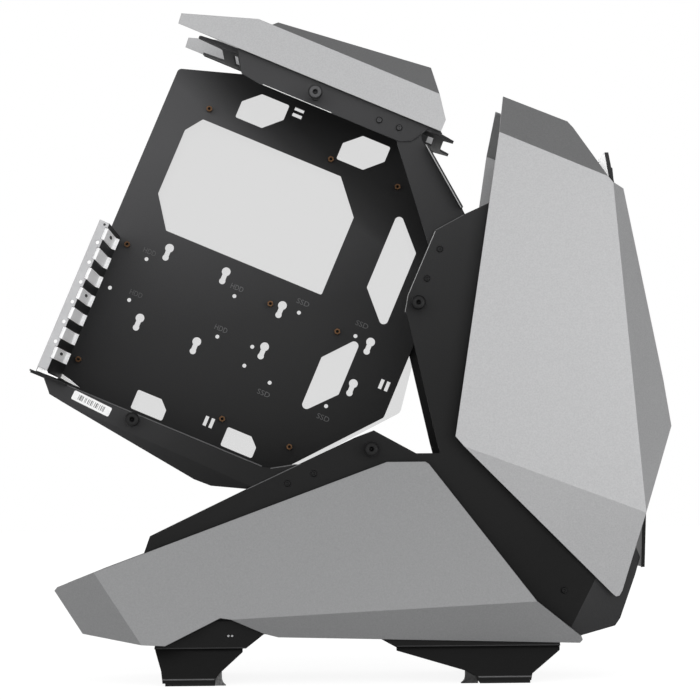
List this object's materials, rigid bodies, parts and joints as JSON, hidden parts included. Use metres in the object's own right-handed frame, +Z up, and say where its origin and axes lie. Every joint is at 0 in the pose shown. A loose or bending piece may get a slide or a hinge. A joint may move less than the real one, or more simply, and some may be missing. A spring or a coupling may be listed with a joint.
{
  "type": "computer case",
  "caption": "Open-frame computer case: a tilted black motherboard tray carried by angular side plates, with folded silver fairings over its top, fan tower and base.",
  "frame": {"origin": "on the floor, below the middle of the case", "axes": "+Z up, +X from the expansion slots toward the fan tower, -Y toward the open side of the tray"},
  "size_m": [0.6111, 0.1818, 0.6396],
  "materials": {
    "black_steel": "fine matt powder coat",
    "silver": "satin anodised",
    "bare_steel": "satin",
    "black_screws": "satin black oxide",
    "standoff_brass": "turned",
    "pad_rubber": "matt",
    "tinted_glass": "polished"
  },
  "bodies": {
    "root": {"motherboard_tray": "black_steel", "motherboard_standoffs": "standoff_brass", "slot_frame": "black_steel", "slot_covers": "bare_steel", "slot_clamp_bar": "bare_steel", "tray_floor": "black_steel", "top_frame": "black_steel", "top_cover": "silver", "top_cover_spacers": "black_screws", "near_side_plate": "black_steel", "far_side_plate": "black_steel", "near_strut": "black_steel", "far_strut": "black_steel", "near_tower_fairing": "silver", "far_tower_fairing": "silver", "near_base_fairing": "silver", "far_base_fairing": "silver", "tower_spacers": "black_screws", "base_spacers": "black_screws", "front_fan_panel": "black_steel", "base_floor": "black_steel", "power_supply_bracket": "black_steel", "rear_foot": "black_steel", "front_foot": "black_steel", "foot_pads": "pad_rubber", "near_panel_posts": "black_screws", "far_panel_posts": "black_screws", "near_thumbscrews": "black_screws", "far_thumbscrews": "black_screws", "far_glass_panel": "tinted_glass", "near_frame_screws": "black_screws", "far_frame_screws": "black_screws"}
  },
  "joints": []
}
